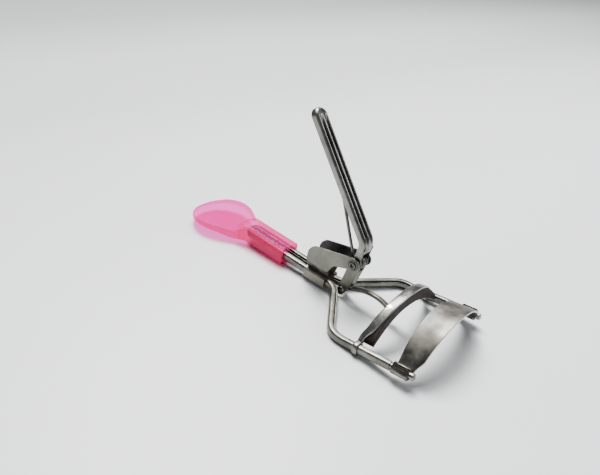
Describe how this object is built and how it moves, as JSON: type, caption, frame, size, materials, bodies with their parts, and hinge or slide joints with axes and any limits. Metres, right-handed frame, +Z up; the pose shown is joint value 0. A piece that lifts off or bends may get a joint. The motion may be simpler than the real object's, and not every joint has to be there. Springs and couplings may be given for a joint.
{
  "type": "eyelash curler",
  "caption": "Single-lever eyelash curler: bent steel frame with a pink thumb handle, a padded jaw sliding on two rails against a fixed curved jaw.",
  "frame": {"origin": "on the table, below the middle of the curler's length and width", "axes": "+X from the thumb handle towards the jaws, +Y to the left, +Z up; lying on a table, open"},
  "size_m": [0.0984, 0.0384, 0.0521],
  "materials": {
    "steel": "polished, worn and stained",
    "grip": "translucent, glossy",
    "pad": "matt",
    "spring": "drawn wire"
  },
  "bodies": {
    "base": {"frame_bar": "steel", "handle_grip": "grip", "saddle_bracket": "steel", "pivot_rivet": "steel", "fixed_jaw": "steel", "jaw_pin_left": "steel", "jaw_pin_right": "steel"},
    "lever": {"pivot_spacer": "steel", "lever": "steel", "lever_crank": "steel", "return_spring": "spring"},
    "sliding_jaw": {"moving_jaw": "steel", "jaw_pad": "pad", "push_rod": "steel", "crank_pin": "steel"}
  },
  "joints": [
    {"name": "lever_hinge", "type": "hinge", "parent": "base", "child": "lever", "pos_m": [0.01663, 0, 0.01345], "axis": [0, -1, 0], "range_deg": [0, 41.12], "stiffness_Nm_per_rad": 0.02},
    {"name": "jaw_slide", "type": "slide", "parent": "base", "child": "sliding_jaw", "axis": [0.9937, 0, 0.1121], "range_m": [0, 0.0076]}
  ],
  "couplings": [
    {"joint": "jaw_slide", "follows": "lever_hinge", "m_per_rad": 0.01059}
  ]
}
